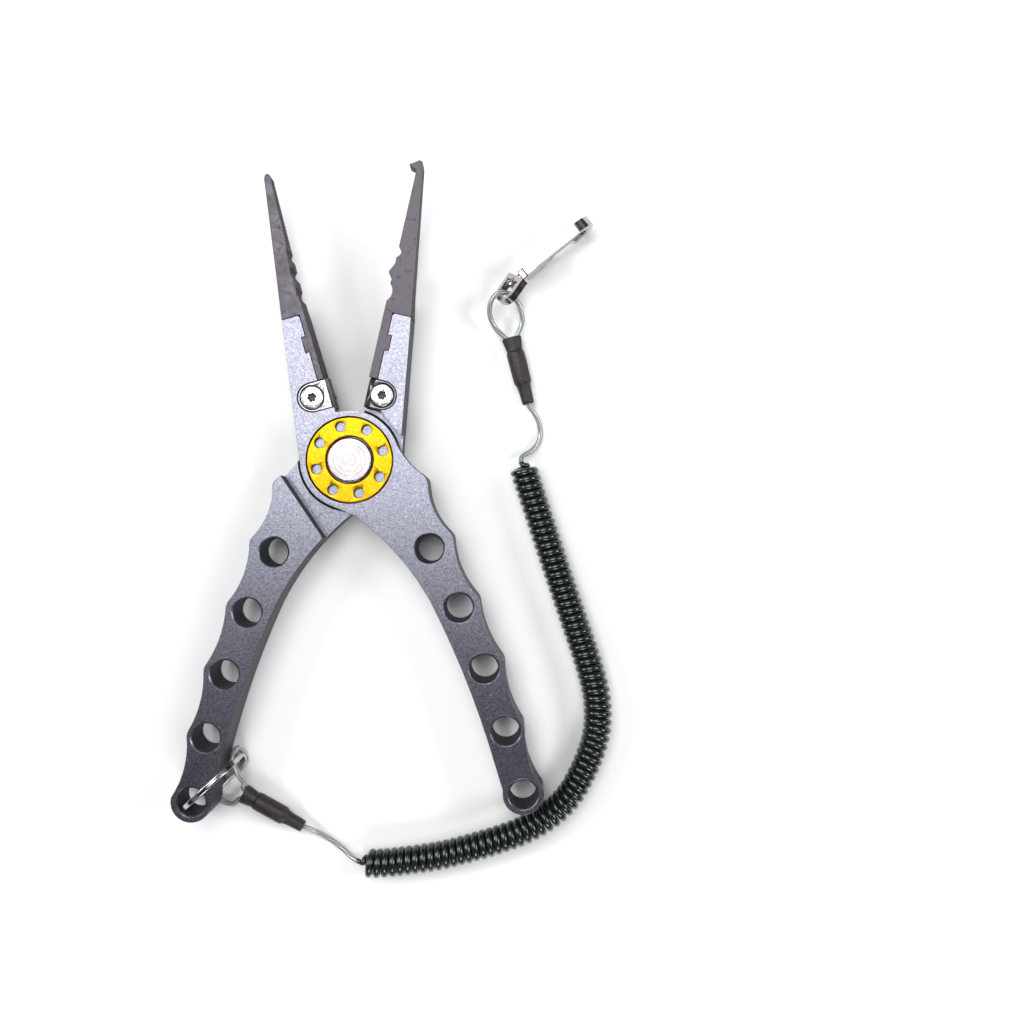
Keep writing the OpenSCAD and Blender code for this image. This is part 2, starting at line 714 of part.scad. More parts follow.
module hook_trigger() color(steel) on_hook() translate([0, -0.2, 0]) difference() {
    union() {
        upright(gate_t) polygon([
            [gate_pin[0], gate_pin[1] + 1.1], [gate_tip_x, gate_z[1]],
            [gate_tip_x, gate_z[0]], [10.6, gate_z[0]], [9.8, -5.8], [8.2, -5.8],
            [7.2, gate_z[0] - 0.6], [gate_pin[0], gate_pin[1] - 1.1]
        ]);
        translate([gate_pin[0], 0, gate_pin[1]]) rotate([90, 0, 0])
            cylinder(h = gate_t + 0.2, r = 1.5, center = true, $fn = 32);
    }
    translate([gate_pin[0], 0, gate_pin[1]]) rotate([90, 0, 0])
        cylinder(h = 8, r = gate_pin_r + 0.05, center = true, $fn = 32);
}

rear_lever();
rear_jaw();
rear_cutter();
rear_cutter_screw();
pivot_bolt();
pivot_nut();
rear_dial_ring();
return_spring();
thrust_washer();
front_lever();
front_jaw();
front_cutter();
front_cutter_screw();
front_dial_ring();
pivot_bushing();
split_ring();
rear_cable_eye();
rear_ferrule();
rear_crimp_sleeve();
rear_lead();
lanyard_coil();
front_lead();
front_crimp_sleeve();
front_ferrule();
front_cable_eye();
swivel_bow();
swivel_post();
hook_body();
trigger_pin();
trigger_spring();
hook_trigger();
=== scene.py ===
import json
import math

import bpy
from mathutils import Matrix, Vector


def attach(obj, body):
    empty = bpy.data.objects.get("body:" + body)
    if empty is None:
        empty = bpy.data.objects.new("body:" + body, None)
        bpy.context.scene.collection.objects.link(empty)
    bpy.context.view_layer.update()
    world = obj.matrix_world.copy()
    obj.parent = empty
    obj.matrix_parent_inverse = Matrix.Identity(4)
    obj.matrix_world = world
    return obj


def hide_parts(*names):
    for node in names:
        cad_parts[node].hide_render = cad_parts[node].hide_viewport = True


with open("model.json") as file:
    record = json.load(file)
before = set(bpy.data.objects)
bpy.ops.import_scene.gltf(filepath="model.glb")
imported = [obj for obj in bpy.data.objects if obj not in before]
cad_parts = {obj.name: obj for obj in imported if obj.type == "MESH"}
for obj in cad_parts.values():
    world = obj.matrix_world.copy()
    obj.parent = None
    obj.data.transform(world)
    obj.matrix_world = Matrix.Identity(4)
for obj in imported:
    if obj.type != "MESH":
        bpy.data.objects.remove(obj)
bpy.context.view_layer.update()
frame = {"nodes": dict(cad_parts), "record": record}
nodes = frame["nodes"]
print("frame loaded:", len(nodes), "CAD nodes")


# ---- small tools ----

def pickNothing():
    if bpy.context.object and bpy.context.object.mode != "OBJECT":
        bpy.ops.object.mode_set(mode="OBJECT")
    bpy.ops.object.select_all(action="DESELECT")


def pickOnly(piece):
    pickNothing()
    piece.select_set(True)
    bpy.context.view_layer.objects.active = piece


def applyAll(piece):
    pickOnly(piece)
    for modifier in list(piece.modifiers):
        bpy.ops.object.modifier_apply(modifier=modifier.name)


def settle(piece):
    # the piece's place goes into its mesh, so its object stays at the origin
    pickOnly(piece)
    bpy.ops.object.transform_apply(location=True, rotation=True, scale=True)


def smoothShade(piece, degrees=35):
    pickOnly(piece)
    bpy.ops.object.shade_smooth_by_angle(angle=math.radians(degrees))


def millimetres(points):
    return [Vector(point) / 1000 for point in points]


# ---- camera, light and floor ----

camera = {
    "above": (0.0465, -0.0149),   # the point that the camera looks straight down on
    "height": 0.3197,
    "lens": 37.49,
}
lights = {
    # a broad soft box over the jaws, and three fills too low to be mirrored up to the camera
    "key": {"at": (-0.07, 0.24, 0.62), "size": (0.52, 0.40), "power": 3.6, "aim": (-0.08, 0.24, 0)},
    "left": {"at": (-0.85, 0.20, 0.66), "size": (0.40, 0.30), "power": 5.0, "aim": (0, 0, 0)},
    "right": {"at": (0.92, 0.10, 0.66), "size": (0.40, 0.30), "power": 5.0, "aim": (0, 0, 0)},
    "front": {"at": (0.15, -0.85, 0.62), "size": (0.40, 0.30), "power": 3.8, "aim": (0, 0, 0)},
}
floor = {"size": 3.0, "at": (0.02, -0.01, -0.0001), "colour": (0.86, 0.86, 0.86, 1)}
# the surroundings are lightest between two heights, given as the sine of the elevation
sky = {
    "light": (0.26, 0.27, 0.29, 1), "dark": (0.02, 0.02, 0.024, 1),
    "band": (0.30, 0.42, 0.66, 0.78),
}


def makeCamera():
    data = bpy.data.cameras.new("camera")
    data.lens = camera["lens"]
    data.sensor_width = 36
    data.clip_start, data.clip_end = 0.01, 20
    holder = bpy.data.objects.new("camera", data)
    holder.location = (*camera["above"], camera["height"])
    bpy.context.scene.collection.objects.link(holder)
    bpy.context.scene.camera = holder


def makeLights():
    for name, light in lights.items():
        data = bpy.data.lights.new(name, "AREA")
        data.shape = "RECTANGLE"
        data.size, data.size_y = light["size"]
        data.energy = light["power"]
        lamp = bpy.data.objects.new(name, data)
        lamp.location = light["at"]
        aim = Vector(light["aim"]) - lamp.location
        lamp.rotation_euler = aim.to_track_quat("-Z", "Y").to_euler()
        bpy.context.scene.collection.objects.link(lamp)
    world = bpy.data.worlds.new("studio")
    bpy.context.scene.world = world
    world.use_nodes = True
    tree = world.node_tree
    where = tree.nodes.new("ShaderNodeTexCoord")
    parts = tree.nodes.new("ShaderNodeSeparateXYZ")
    fade = tree.nodes.new("ShaderNodeValToRGB")
    stops = fade.color_ramp.elements
    while len(stops) < len(sky["band"]):
        stops.new(0.5)
    for stop, height, shade in zip(stops, sky["band"], ("dark", "light", "light", "dark")):
        stop.position, stop.color = height, sky[shade]
    tree.links.new(where.outputs["Generated"], parts.inputs[0])
    tree.links.new(parts.outputs["Z"], fade.inputs[0])
    tree.links.new(fade.outputs[0], tree.nodes["Background"].inputs["Color"])
    bpy.context.scene.view_settings.view_transform = "Standard"


makeCamera()
makeLights()
print("camera and lights placed")


# ---- the cable: one length of coated wire rope from eye to eye ----

cable = {
    "leadRadius": 0.78,
    "coilRadius": 1.12,
    "helix": 3.17,               # radius of the helix that the cable's centre follows
    "turns": 75,
    "stepsPerTurn": 20,
    "length": 1.67,
    "rearEye": [
        (-25.6, -102.7, 2.2), (-29.4, -100.6, 2.2), (-33.8, -100, 2.2), (-37, -102, 1.2),
        (-40.4, -101, 0.9), (-41, -98, 0.9), (-38.5, -94.8, 0.92), (-35.3, -92, 0.92),
        (-33, -89.2, 1.06), (-33.6, -86.5, 2.02), (-34.5, -84.7, 4.1), (-35.4, -85.6, 6.2),
        (-35.2, -88.1, 7.2), (-34.2, -92, 5.8), (-33, -95.2, 3.7), (-32.9, -97.1, 3.3),
        (-30, -99.6, 3.3), (-24, -103.4, 3.2), (-19, -106.3, 3),
    ],
    "rearLead": [
        (-15.2, -108.4, 3), (-12, -110.2, 1.6), (-8, -112.6, 0.9), (-4.4, -115.2, 1),
        (-1, -117.6, 2.6), (1.9, -118.6, 4.2),
    ],
    "coil": [
        (2.4, -118.7, 4.4), (8, -118.7, 4.4), (14, -118.1, 4.4), (25.5, -116.4, 4.4),
        (37, -113.4, 4.4), (47, -110.2, 4.4), (53.2, -107.3, 4.4), (58.6, -103.7, 4.4),
        (63.2, -99, 4.4), (66.5, -93.6, 4.4), (69.4, -87.3, 4.4), (71.3, -81.2, 4.4),
        (71.9, -75, 4.4), (71.3, -68, 4.4), (68.9, -59, 4.4), (65.2, -48, 4.4),
        (59.6, -31.6, 4.4), (54.3, -15.6, 4.4), (49.5, -1, 4.4),
    ],
    "frontLead": [
        (49.2, -0.3, 4.4), (49.6, 1.6, 3.6), (52.6, 3.6, 1.8), (54.8, 7.2, 1), (54.6, 11.4, 1.4),
        (53, 14.6, 2.4), (51.5, 16.9, 3),
    ],
    "frontEye": [
        (49.8, 23, 3.1), (48, 30, 3.4), (46.1, 34.8, 3.2), (44.4, 36.8, 3), (41.6, 39.6, 3.6),
        (40, 43, 4.8), (40.2, 46.6, 6.2), (42.2, 49.2, 6.8), (45, 49.5, 6), (47.4, 48, 5.2),
        (49, 45.2, 4.4), (49.5, 41.4, 3.4), (48.1, 37.6, 3), (47.6, 34.4, 2.6),
        (48.4, 29.6, 2.2),
    ],
}


def smoothPoint(a, b, c, d, t):
    return 0.5 * (2 * b + (c - a) * t + (2 * a - 5 * b + 4 * c - d) * t * t
                  + (3 * b - a - 3 * c + d) * t ** 3)


def smoothLine(points, steps):
    line = []
    for i in range(len(points) - 1):
        a, b = points[max(i - 1, 0)], points[i]
        c, d = points[i + 1], points[min(i + 2, len(points) - 1)]
        line += [smoothPoint(a, b, c, d, k / steps) for k in range(steps)]
    return line + [points[-1]]


def walkAlong(line, count):
    # evenly spaced places on a line, each with the line's heading there
    reach = [0]
    for a, b in zip(line, line[1:]):
        reach.append(reach[-1] + (b - a).length)
    places, i = [], 0
    for k in range(count + 1):
        want = reach[-1] * k / count
        while i < len(line) - 2 and reach[i + 1] < want:
            i += 1
        part = (want - reach[i]) / max(reach[i + 1] - reach[i], 1e-9)
        places.append((line[i].lerp(line[i + 1], part), (line[i + 1] - line[i]).normalized()))
    return places


def windCoil():
    spine = smoothLine(millimetres(cable["coil"]), 12)
    count = cable["turns"] * cable["stepsPerTurn"]
    ease = 0.7 * cable["stepsPerTurn"]  # the coil's end turns draw in towards the lead
    wound = []
    for k, (place, heading) in enumerate(walkAlong(spine, count)):
        up = Vector((0, 0, 1))
        side = heading.cross(up).normalized()
        angle = 2 * math.pi * k / cable["stepsPerTurn"] + math.pi / 2
        near = min(k, count - k) / ease
        grown = 1 if near >= 1 else near * near * (3 - 2 * near)
        radius = cable["helix"] / 1000 * (0.12 + 0.88 * grown)
        wound.append(place + radius * (math.cos(angle) * side + math.sin(angle) * up))
    return wound


def makeCable():
    rear = smoothLine(millimetres(cable["rearEye"] + cable["rearLead"]), 6)
    front = smoothLine(millimetres(cable["frontLead"] + cable["frontEye"]), 6)
    wound = windCoil()
    line = rear + wound[1:-1] + front
    thin, thick = cable["leadRadius"] / 1000, cable["coilRadius"] / 1000
    curve = bpy.data.curves.new("cable", "CURVE")
    curve.dimensions = "3D"
    curve.bevel_depth = thick
    curve.bevel_resolution = 3
    curve.use_fill_caps = True
    spline = curve.splines.new("POLY")
    spline.points.add(len(line) - 1)
    blend = cable["stepsPerTurn"]
    for k, (point, place) in enumerate(zip(spline.points, line)):
        inside = min(k - len(rear), len(line) - len(front) - k) / blend
        grown = min(max(inside, 0), 1)
        point.co = (*place, 1)
        point.radius = (thin + (thick - thin) * grown) / thick
    spline.use_smooth = True
    piece = bpy.data.objects.new("cable", curve)
    bpy.context.scene.collection.objects.link(piece)
    coilStart, coilEnd = len(rear), len(line) - len(front)
    return piece, line, coilStart, coilEnd


cablePiece, cableLine, coilStart, coilEnd = makeCable()
cableLength = sum((b - a).length for a, b in zip(cableLine, cableLine[1:]))
print("cable wound: %.3f m" % cableLength)


# ---- pieces taken over from the CAD nodes, with their edges broken ----

edges = {
    # node: (width of the broken edge in mm, steps across it)
    "rear_lever": (0.35, 2), "front_lever": (0.35, 2),
    "rear_jaw": (0.16, 2), "front_jaw": (0.12, 1),
    "rear_cutter": (0.12, 1), "front_cutter": (0.12, 1),
    "rear_cutter_screw": (0.1, 1), "front_cutter_screw": (0.1, 1),
    "rear_dial_ring": (0.14, 2), "front_dial_ring": (0.14, 2),
    "pivot_bolt": (0.12, 2), "pivot_nut": (0.12, 2),
    "hook_body": (0.4, 3), "hook_trigger": (0.2, 2),
    "swivel_bow": (0.5, 4), "swivel_post": (0.15, 2),
}
walls = {
    # node: a face leaning more than this (as its normal's height) takes the wall material, a darker
    # copy of the finish painted as shade
    "rear_lever": 0.45, "front_lever": 0.45, "rear_jaw": 0.55, "front_jaw": 0.55,
    "rear_cutter": 0.5,
    "rear_dial_ring": 0.93, "front_dial_ring": 0.93, "pivot_bolt": 0.3, "pivot_nut": 0.3,
}
recess = {
    # node: centre of the screw and reach of its six-lobed recess, in mm; the recess bottom takes
    # the wall material, painted shade
    "front_cutter_screw": (-10.77, 17.87, 1.5), "rear_cutter_screw": (9.26, 18.50, 1.5),
}


def markWalls(piece, nodeName):
    # material places: 0 the face, 1 the broken edge, 2 the wall or the bottom of a recess; on most
    # pieces place 1 is painted light on the edge, brighter or darker than the face, and place 2 is
    # painted shade
    mesh = piece.data
    if nodeName in recess:
        x, y, reach = recess[nodeName]
        top = max(vertex.co.z for vertex in mesh.vertices)
        for face in mesh.polygons:
            away = math.hypot(face.center.x - x / 1000, face.center.y - y / 1000)
            if away < reach / 1000 and face.center.z < top - 0.0001:
                face.material_index = 2
    for face in mesh.polygons:
        if face.material_index == 0 and abs(face.normal.z) < walls.get(nodeName, 0):
            face.material_index = 2


def breakEdges(nodeName):
    width, steps = edges[nodeName]
    source = nodes[nodeName]
    piece = bpy.data.objects.new(nodeName + "_piece", source.data.copy())
    bpy.context.scene.collection.objects.link(piece)
    piece.data.materials.clear()
    pickOnly(piece)
    bpy.ops.object.mode_set(mode="EDIT")
    bpy.ops.mesh.select_all(action="SELECT")
    bpy.ops.mesh.remove_doubles(threshold=0.000002)
    bpy.ops.mesh.dissolve_limited(angle_limit=math.radians(1.5))
    bpy.ops.mesh.select_mode(type="EDGE")
    bpy.ops.mesh.select_all(action="DESELECT")
    bpy.ops.mesh.edges_select_sharp(sharpness=math.radians(24))
    bpy.ops.mesh.bevel(offset=width / 1000, segments=steps, profile=0.5, affect="EDGES",
                       clamp_overlap=True, loop_slide=True, material=1)
    bpy.ops.mesh.select_all(action="SELECT")
    bpy.ops.mesh.quads_convert_to_tris()
    bpy.ops.object.mode_set(mode="OBJECT")
    smoothShade(piece, 60)
    weigh = piece.modifiers.new("weigh", "WEIGHTED_NORMAL")
    weigh.mode = "FACE_AREA"
    weigh.weight = 100
    weigh.keep_sharp = True
    applyAll(piece)
    markWalls(piece, nodeName)
    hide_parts(nodeName)
    return piece


taken = {name: breakEdges(name) for name in edges}
print("edges broken on", len(taken), "pieces")


# ---- split ring: two turns of flat wire lying on each other ----

splitRing = {
    "centre": (-39.66, -92.79, 11.2),
    "direction": 42,
    "outer": 11.15, "width": 1.75, "thick": 0.92, "turns": 2,
}


def makeSplitRing():
    ring = splitRing
    middle = (ring["outer"] - ring["width"] / 2) / 1000
    rise = ring["thick"] * 1.06 / 1000 * (ring["turns"] - 1)
    pickNothing()
    bpy.ops.mesh.primitive_plane_add(size=1, location=(middle, 0, 0),
                                     rotation=(math.pi / 2, 0, 0))
    piece = bpy.context.object
    piece.name = "split_ring_piece"
    piece.scale = (ring["width"] / 1000, ring["thick"] / 1000, 1)
    settle(piece)
    bpy.ops.object.mode_set(mode="EDIT")
    bpy.ops.mesh.select_all(action="SELECT")
    bpy.ops.mesh.bevel(offset=0.00022, segments=3, affect="VERTICES")
    bpy.ops.object.mode_set(mode="OBJECT")
    wind = piece.modifiers.new("wind", "SCREW")
    wind.axis = "Z"
    wind.angle = 2 * math.pi * ring["turns"]
    wind.screw_offset = rise
    wind.steps = wind.render_steps = 96 * ring["turns"]
    wind.use_merge_vertices = False
    applyAll(piece)
    bpy.ops.object.mode_set(mode="EDIT")
    bpy.ops.mesh.select_all(action="SELECT")
    bpy.ops.mesh.remove_doubles(threshold=0.000001)
    bpy.ops.mesh.normals_make_consistent(inside=False)
    bpy.ops.object.mode_set(mode="OBJECT")
    piece.location = (0, 0, -rise / 2)
    settle(piece)
    piece.rotation_euler = (math.pi / 2, 0, math.radians(ring["direction"]))
    piece.location = Vector(ring["centre"]) / 1000
    settle(piece)
    smoothShade(piece, 40)
    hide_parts("split_ring")
    return piece


ringPiece = makeSplitRing()
print("split ring wound")


# ---- heat-shrink sleeves over the ferrules ----

sleeve = {
    "around": 32,
    # distance from the mouth, half width and half height, in mm
    "rings": [
        (0.25, 2.5, 2.0), (0.0, 2.85, 2.1), (0.35, 2.95, 2.2), (2.0, 2.72, 2.12),
        (3.8, 2.36, 2.1), (4.25, 2.36, 2.2), (4.55, 2.62, 2.6), (5.0, 2.7, 2.68),
        (9.4, 2.68, 2.66), (13.5, 2.68, 2.66), (13.95, 2.55, 2.52), (14.3, 2.2, 2.2),
        (14.9, 2.06, 2.06), (16.4, 1.88, 1.88), (20.1, 1.82, 1.82), (20.45, 1.65, 1.65),
        (20.3, 0.95, 0.95),
    ],
    "rear": {"at": (-33.3, -98.4, 3), "turn": -28.9, "node": "rear_crimp_sleeve"},
    "front": {"at": (46.3, 36.9, 3), "turn": -75.5, "node": "front_crimp_sleeve"},
}


def makeSleeve(which):
    place = sleeve[which]
    start, wide, high = sleeve["rings"][0]
    pickNothing()
    bpy.ops.mesh.primitive_circle_add(vertices=sleeve["around"], radius=0.001, fill_type="NOTHING",
                                      location=(0, 0, 0), rotation=(0, math.pi / 2, 0))
    piece = bpy.context.object
    piece.name = place["node"] + "_piece"
    settle(piece)
    bpy.ops.object.mode_set(mode="EDIT")
    bpy.ops.mesh.select_all(action="SELECT")
    bpy.ops.transform.resize(value=(1, wide, high), center_override=(0, 0, 0))
    bpy.ops.transform.translate(value=(start / 1000, 0, 0))
    for x, newWide, newHigh in sleeve["rings"][1:]:
        step = ((x - start) / 1000, 0, 0)
        bpy.ops.mesh.extrude_region_move(TRANSFORM_OT_translate={"value": step})
        bpy.ops.transform.resize(value=(1, newWide / wide, newHigh / high),
                                 center_override=(0, 0, 0))
        start, wide, high = x, newWide, newHigh
    bpy.ops.mesh.edge_face_add()  # closes the tail around the cable
    bpy.ops.object.mode_set(mode="OBJECT")
    first = [v.index for v in piece.data.vertices][:sleeve["around"]]
    bpy.ops.object.mode_set(mode="EDIT")
    bpy.ops.mesh.select_mode(type="VERT")
    bpy.ops.mesh.select_all(action="DESELECT")
    bpy.ops.object.mode_set(mode="OBJECT")
    for index in first:
        piece.data.vertices[index].select = True
    bpy.ops.object.mode_set(mode="EDIT")
    # the mouth turns inwards and is closed a little way down
    bpy.ops.mesh.extrude_region_move(TRANSFORM_OT_translate={"value": (0.0022, 0, 0)})
    bpy.ops.transform.resize(value=(1, 0.9, 0.9), center_override=(0, 0, 0))
    bpy.ops.mesh.edge_face_add()
    bpy.ops.mesh.select_all(action="SELECT")
    bpy.ops.mesh.normals_make_consistent(inside=False)
    bpy.ops.object.mode_set(mode="OBJECT")
    soft = piece.modifiers.new("soft", "SUBSURF")
    soft.levels = soft.render_levels = 1
    applyAll(piece)
    piece.rotation_euler = (0, 0, math.radians(place["turn"]))
    piece.location = Vector(place["at"]) / 1000
    settle(piece)
    smoothShade(piece, 60)
    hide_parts(place["node"])
    return piece


rearSleeve = makeSleeve("rear")
frontSleeve = makeSleeve("front")
print("sleeves shrunk on")


# ---- materials ----

class Wire:
    # one socket in a material's tree; sums on it add Math nodes
    def __init__(self, tree, socket=None):
        self.tree, self.socket = tree, socket

    def add(self, kind, settings, values, out=0):
        node = self.tree.nodes.new(kind)
        for name, value in settings.items():
            if name == "stops":
                marks = node.color_ramp.elements
                while len(marks) < len(value):
                    marks.new(0.5)
                for stop, (place, colour) in zip(marks, value):
                    stop.position, stop.color = place, colour
            else:
                setattr(node, name, value)
        for name, value in values.items():
            if isinstance(value, Wire):
                self.tree.links.new(value.socket, node.inputs[name])
            else:
                node.inputs[name].default_value = value
        return Wire(self.tree, node.outputs[out])

    def maths(self, operation, first, second=0.0):
        return self.add("ShaderNodeMath", {"operation": operation}, {0: first, 1: second})

    def __add__(self, other):
        return self.maths("ADD", self, other)

    def __radd__(self, other):
        return self.maths("ADD", other, self)

    def __sub__(self, other):
        return self.maths("SUBTRACT", self, other)

    def __rsub__(self, other):
        return self.maths("SUBTRACT", other, self)

    def __mul__(self, other):
        return self.maths("MULTIPLY", self, other)

    def __rmul__(self, other):
        return self.maths("MULTIPLY", other, self)

    def __truediv__(self, other):
        return self.maths("DIVIDE", self, other)

    def __pow__(self, other):
        return self.maths("POWER", self, other)


def newMaterial(name, constants):
    material = bpy.data.materials.new(name)
    material.use_nodes = True
    shader = material.node_tree.nodes["Principled BSDF"]
    for socket, value in constants.items():
        shader.inputs[socket].default_value = value
    return material, shader, Wire(material.node_tree)


def connect(material, shader, links):
    for socket, wire in links.items():
        material.node_tree.links.new(wire.socket, shader.inputs[socket])
    return material


def objectPlace(wire):
    return wire.add("ShaderNodeTexCoord", {}, {}, "Object")


def noise(wire, place, scale, detail=2.0, roughness=0.5):
    return wire.add("ShaderNodeTexNoise", {}, {
        "Vector": place, "Scale": scale, "Detail": detail, "Roughness": roughness}, 0)


def stretched(wire, place, scale, turn):
    return wire.add("ShaderNodeMapping", {}, {
        "Vector": place, "Scale": scale, "Rotation": (0, 0, math.radians(turn))})


def mix(wire, amount, first, second):
    node = wire.tree.nodes.new("ShaderNodeMix")
    node.data_type = "RGBA"
    for index, value in ((0, amount), (6, first), (7, second)):
        if isinstance(value, Wire):
            wire.tree.links.new(value.socket, node.inputs[index])
        else:
            node.inputs[index].default_value = value
    return Wire(wire.tree, node.outputs[2])


def ramp(wire, value, stops):
    return wire.add("ShaderNodeValToRGB", {"stops": stops}, {0: value})


def grey(level):
    return (level, level, level, 1)


def bump(wire, height, strength, distance):
    return wire.add("ShaderNodeBump", {}, {
        "Height": height, "Strength": strength, "Distance": distance})


def stretch(wire, value, low, high):
    # spreads the narrow band that a noise keeps to over the whole range
    return ramp(wire, value, [(low, grey(0)), (high, grey(1))])


def paintedBossShadow(wire, place, x, y, reach, height):
    # mask of a painted shadow: a ring in the corner around a round boss, on the lower face beside
    # it, where the boss's contact shadow falls
    parts = wire.add("ShaderNodeSeparateXYZ", {}, {0: place})
    across, along, up = (Wire(wire.tree, parts.socket.node.outputs[i]) for i in range(3))
    away = ((across - x / 1000) * (across - x / 1000)
            + (along - y / 1000) * (along - y / 1000)) ** 0.5
    inside = wire.add("ShaderNodeMapRange", {}, {
        0: away, 1: (reach - 0.12) / 1000, 2: (reach + 0.12) / 1000, 3: 1.0, 4: 0.0})
    low = wire.add("ShaderNodeMapRange", {}, {
        0: up, 1: (height - 0.1) / 1000, 2: (height + 0.1) / 1000, 3: 1.0, 4: 0.0})
    return inside * low


def blastedAlloy(name, dark, light, blast=1.0, rough=0.31, corner=None):
    # anodised over a bead-blasted surface: sparkle, faint cloudiness, few rubbed specks
    material, shader, wire = newMaterial(name, {"Metallic": 0.95, "Roughness": rough})
    place = objectPlace(wire)
    cloud = noise(wire, place, 60, 3)
    grain = noise(wire, place, 2300, 3, 0.6)
    coarse = noise(wire, place, 1100, 2)
    speck = stretch(wire, noise(wire, place, 900, 1), 0.72, 0.77)
    tone = stretch(wire, grain * 0.75 + coarse * 0.25, 0.36, 0.64)
    colour = mix(wire, tone, dark, light)
    colour = mix(wire, speck * 0.3, colour, (0.75, 0.75, 0.8, 1))
    # painted shadow: the ring is mixed to near black where the boss's contact shadow falls
    if corner:
        colour = mix(wire, paintedBossShadow(wire, place, *corner), colour, (0.004, 0.004, 0.005, 1))
    return connect(material, shader, {
        "Base Color": colour,
        "Roughness": rough - 0.06 + cloud * 0.08 + grain * 0.06,
        "Normal": bump(wire, grain * 0.75 + coarse * 0.25, 0.3 * blast, 0.00004),
    })


# painted light on a broken edge: a colour set apart from the face's, brighter than the face for a
# painted highlight and darker for a painted dark outline, with random patches of a duller tone
def paintedEdgeLight(name, colour, rough=0.24):
    material, shader, wire = newMaterial(name, {"Metallic": 1.0, "Roughness": rough})
    place = objectPlace(wire)
    patchiness = stretch(wire, noise(wire, place, 700, 3), 0.35, 0.65)
    dull = tuple(0.6 * c for c in colour[:3]) + (1,)
    return connect(material, shader, {
        "Base Color": mix(wire, patchiness, dull, colour),
        "Roughness": rough - 0.05 + patchiness * 0.12,
    })


def hardenedSteel(name, dark, light, cells, rough, veins):
    # oil-blackened steel: pale scale in cells, dark veins between them, tiny pits
    material, shader, wire = newMaterial(name, {"Metallic": 0.8, "Roughness": rough})
    place = objectPlace(wire)
    large = noise(wire, place, 0.6 * cells, 4, 0.65)
    fine = noise(wire, place, 1500, 3, 0.6)
    wander = wire.add("ShaderNodeTexNoise", {}, {
        "Vector": place, "Scale": 420.0, "Detail": 2.0}, 1)
    nudge = wire.add("ShaderNodeVectorMath", {"operation": "SCALE"}, {0: wander, "Scale": 0.0016})
    bent = wire.add("ShaderNodeVectorMath", {"operation": "ADD"}, {0: place, 1: nudge})
    edge = wire.add("ShaderNodeTexVoronoi", {"feature": "DISTANCE_TO_EDGE"}, {
        "Vector": bent, "Scale": cells})
    vein = ramp(wire, edge, [(0.02, grey(1)), (0.13, grey(0))]) * stretch(wire, large, 0.42, 0.58)
    patch = stretch(wire, large, 0.40, 0.60)
    pit = ramp(wire, noise(wire, place, 620, 2), [(0.30, grey(1)), (0.38, grey(0))])
    colour = mix(wire, patch * 0.55 + fine * 0.45, dark, light)
    colour = mix(wire, vein * veins, colour, dark)
    colour = mix(wire, pit * 0.5, colour, (0.012, 0.010, 0.012, 1))
    height = fine * 0.5 + large * 0.5 - pit * 0.6 - vein * (0.5 * veins)
    return connect(material, shader, {
        "Base Color": colour,
        "Roughness": rough - 0.08 + patch * 0.1 + fine * 0.12,
        "Normal": bump(wire, height, 0.4, 0.00006),
    })


def paintedShadeSide(name, dark, light, gloss):
    # painted shade: sides and hole walls get a near-black, dull, non-metallic copy of the finish,
    # standing for the shade they fall in
    material, shader, wire = newMaterial(name, {
        "Metallic": 0.0, "Roughness": 0.55, "Specular IOR Level": gloss})
    place = objectPlace(wire)
    grain = stretch(wire, noise(wire, place, 1900, 3, 0.6), 0.36, 0.64)
    cloud = noise(wire, place, 220, 2)
    return connect(material, shader, {
        "Base Color": mix(wire, grain * 0.6 + cloud * 0.4, dark, light),
        "Roughness": 0.46 + cloud * 0.16,
        "Normal": bump(wire, grain, 0.25, 0.00004),
    })


def groundSteel(name, colour, rough, turn, lines=1.0):
    # ground one way: long fine scratches and a little tarnish
    material, shader, wire = newMaterial(name, {"Metallic": 1.0, "Roughness": rough})
    place = objectPlace(wire)
    scratch = noise(wire, stretched(wire, place, (1, 14, 1), turn), 500, 3, 0.7)
    stain = noise(wire, place, 300, 3)
    dull = tuple(0.5 * c for c in colour[:3]) + (1,)
    tone = stretch(wire, scratch * 0.65 + stain * 0.35, 0.36, 0.62)
    return connect(material, shader, {
        "Base Color": mix(wire, tone, dull, colour),
        "Roughness": rough - 0.08 + stain * 0.14 + scratch * 0.06,
        "Normal": bump(wire, scratch, 0.3 * lines, 0.00004),
    })


def turnedSteel(name, centre, colour, rough, pitch):
    # circles left by facing in a lathe; the shader's own grain spreads the light into spokes
    material, shader, wire = newMaterial(name, {
        "Metallic": 1.0, "Roughness": rough, "Anisotropic": 0.9})
    place = objectPlace(wire)
    flat = wire.add("ShaderNodeVectorMath", {"operation": "SUBTRACT"}, {
        0: place, 1: (centre[0] / 1000, centre[1] / 1000, 0)})
    parts = wire.add("ShaderNodeSeparateXYZ", {}, {0: flat})
    across = Wire(wire.tree, parts.socket.node.outputs[0])
    along = Wire(wire.tree, parts.socket.node.outputs[1])
    reach = (across * across + along * along) ** 0.5
    groove = wire.maths("SINE", reach * (2000 * math.pi / pitch))
    outward = wire.add("ShaderNodeCombineXYZ", {}, {0: reach, 1: 0.0, 2: 0.0})
    band = noise(wire, outward, 1400, 3, 0.7)
    chatter = noise(wire, place, 900, 2)
    dull = tuple(0.5 * c for c in colour[:3]) + (1,)
    tone = stretch(wire, band * 0.75 + chatter * 0.25, 0.36, 0.62)
    return connect(material, shader, {
        "Base Color": mix(wire, tone, dull, colour),
        "Roughness": rough - 0.05 + chatter * 0.12,
        "Normal": bump(wire, groove * 0.4 + band * 0.6, 0.2, 0.00003),
    })


